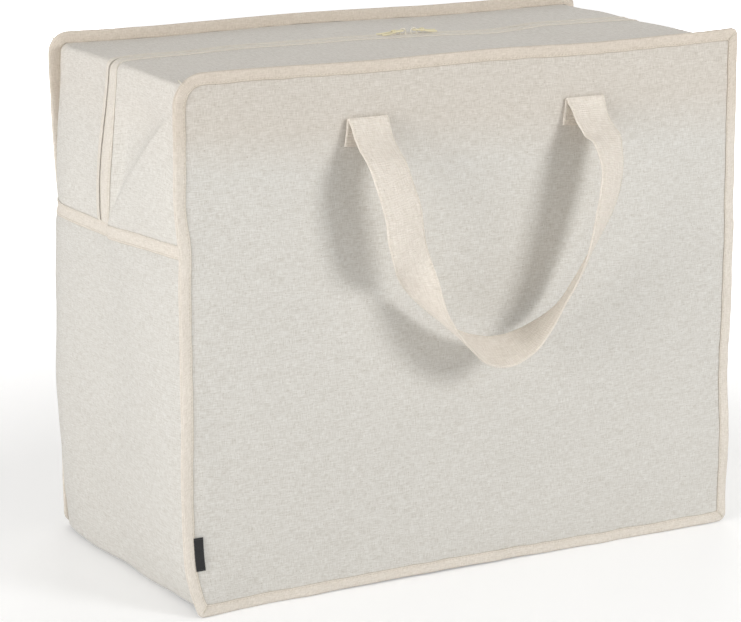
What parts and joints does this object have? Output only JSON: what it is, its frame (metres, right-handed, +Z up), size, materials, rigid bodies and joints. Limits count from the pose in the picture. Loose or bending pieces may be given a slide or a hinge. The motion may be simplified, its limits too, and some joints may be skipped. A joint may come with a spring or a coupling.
{
  "type": "under bed storage box",
  "caption": "Soft rectangular zipped storage box in linen-look cloth with bound seams, a zip over the top and two webbing handles.",
  "frame": {"origin": "middle of the footprint, on the surface the box stands on", "axes": "+Z up, -Y out of the front panel, +X to the right of someone facing the front"},
  "size_m": [0.55, 0.3934, 0.463],
  "materials": {
    "linen_cloth": "linen-look plain weave",
    "binding_tape": "cream woven binding",
    "zip_tape": "cream knitted zip tape with nylon coil",
    "webbing": "ribbed cotton-look webbing",
    "cord": "soft braided cord",
    "slider_metal": "satin cream",
    "label": "black woven label"
  },
  "bodies": {
    "shell": {"front_panel": "linen_cloth", "back_panel": "linen_cloth", "front_binding": "binding_tape", "back_binding": "binding_tape", "left_side_panel": "linen_cloth", "right_side_panel": "linen_cloth", "left_seam_tape": "binding_tape", "right_seam_tape": "binding_tape", "bottom_panel": "linen_cloth", "front_left_upper_gusset": "linen_cloth", "front_right_upper_gusset": "linen_cloth", "back_left_upper_gusset": "linen_cloth", "back_right_upper_gusset": "linen_cloth", "front_top_seam": "linen_cloth", "back_top_seam": "linen_cloth", "front_zip_tape_left": "zip_tape", "front_zip_tape_right": "zip_tape", "back_zip_tape_left": "zip_tape", "back_zip_tape_right": "zip_tape", "front_handle_anchor_left": "webbing", "front_handle_anchor_right": "webbing", "back_handle_anchor_left": "webbing", "back_handle_anchor_right": "webbing", "side_label": "label"},
    "front_flap": {"front_flap": "linen_cloth", "front_zip_tape_middle": "zip_tape"},
    "back_flap": {"back_flap": "linen_cloth", "back_zip_tape_middle": "zip_tape"},
    "left_slider": {"left_slider": "slider_metal"},
    "right_slider": {"right_slider": "slider_metal"},
    "left_pull": {"left_pull_cord": "cord", "left_pull_knot": "cord"},
    "right_pull": {"right_pull_cord": "cord", "right_pull_knot": "cord"},
    "front_handle": {"front_handle_loop": "webbing"},
    "back_handle": {"back_handle_loop": "webbing"}
  },
  "joints": [
    {"name": "front_flap_fold", "type": "hinge", "parent": "shell", "child": "front_flap", "pos_m": [0, -0.1376, 0.4554], "axis": [1, 0, 0], "range_deg": [0, 80], "deforming": ["front_zip_tape_middle"]},
    {"name": "back_flap_fold", "type": "hinge", "parent": "shell", "child": "back_flap", "pos_m": [0, 0.1376, 0.4554], "axis": [-1, 0, 0], "range_deg": [0, 80], "deforming": ["back_zip_tape_middle"]},
    {"name": "left_slider_run", "type": "slide", "parent": "shell", "child": "left_slider", "axis": [-1, 0, 0], "range_m": [0, 0.2533]},
    {"name": "right_slider_run", "type": "slide", "parent": "shell", "child": "right_slider", "axis": [1, 0, 0], "range_m": [0, 0.2033]},
    {"name": "left_pull_swing", "type": "hinge", "parent": "left_slider", "child": "left_pull", "pos_m": [0.0193, 0.018, 0.45855], "axis": [0, 1, 0], "range_deg": [0, 95]},
    {"name": "right_pull_swing", "type": "hinge", "parent": "right_slider", "child": "right_pull", "pos_m": [0.0307, 0.018, 0.45855], "axis": [0, -1, 0], "range_deg": [0, 95]},
    {"name": "front_handle_swing", "type": "hinge", "parent": "shell", "child": "front_handle", "pos_m": [0.008, -0.145, 0.4145], "axis": [-1, 0, 0], "range_deg": [0, 120]},
    {"name": "back_handle_swing", "type": "hinge", "parent": "shell", "child": "back_handle", "pos_m": [-0.008, 0.145, 0.4145], "axis": [1, 0, 0], "range_deg": [0, 120]}
  ],
  "couplings": [
    {"joint": "back_flap_fold", "follows": "front_flap_fold", "ratio": 1},
    {"joint": "left_slider_run", "follows": "front_flap_fold", "m_per_rad": 0.18141},
    {"joint": "right_slider_run", "follows": "front_flap_fold", "m_per_rad": 0.1456}
  ]
}
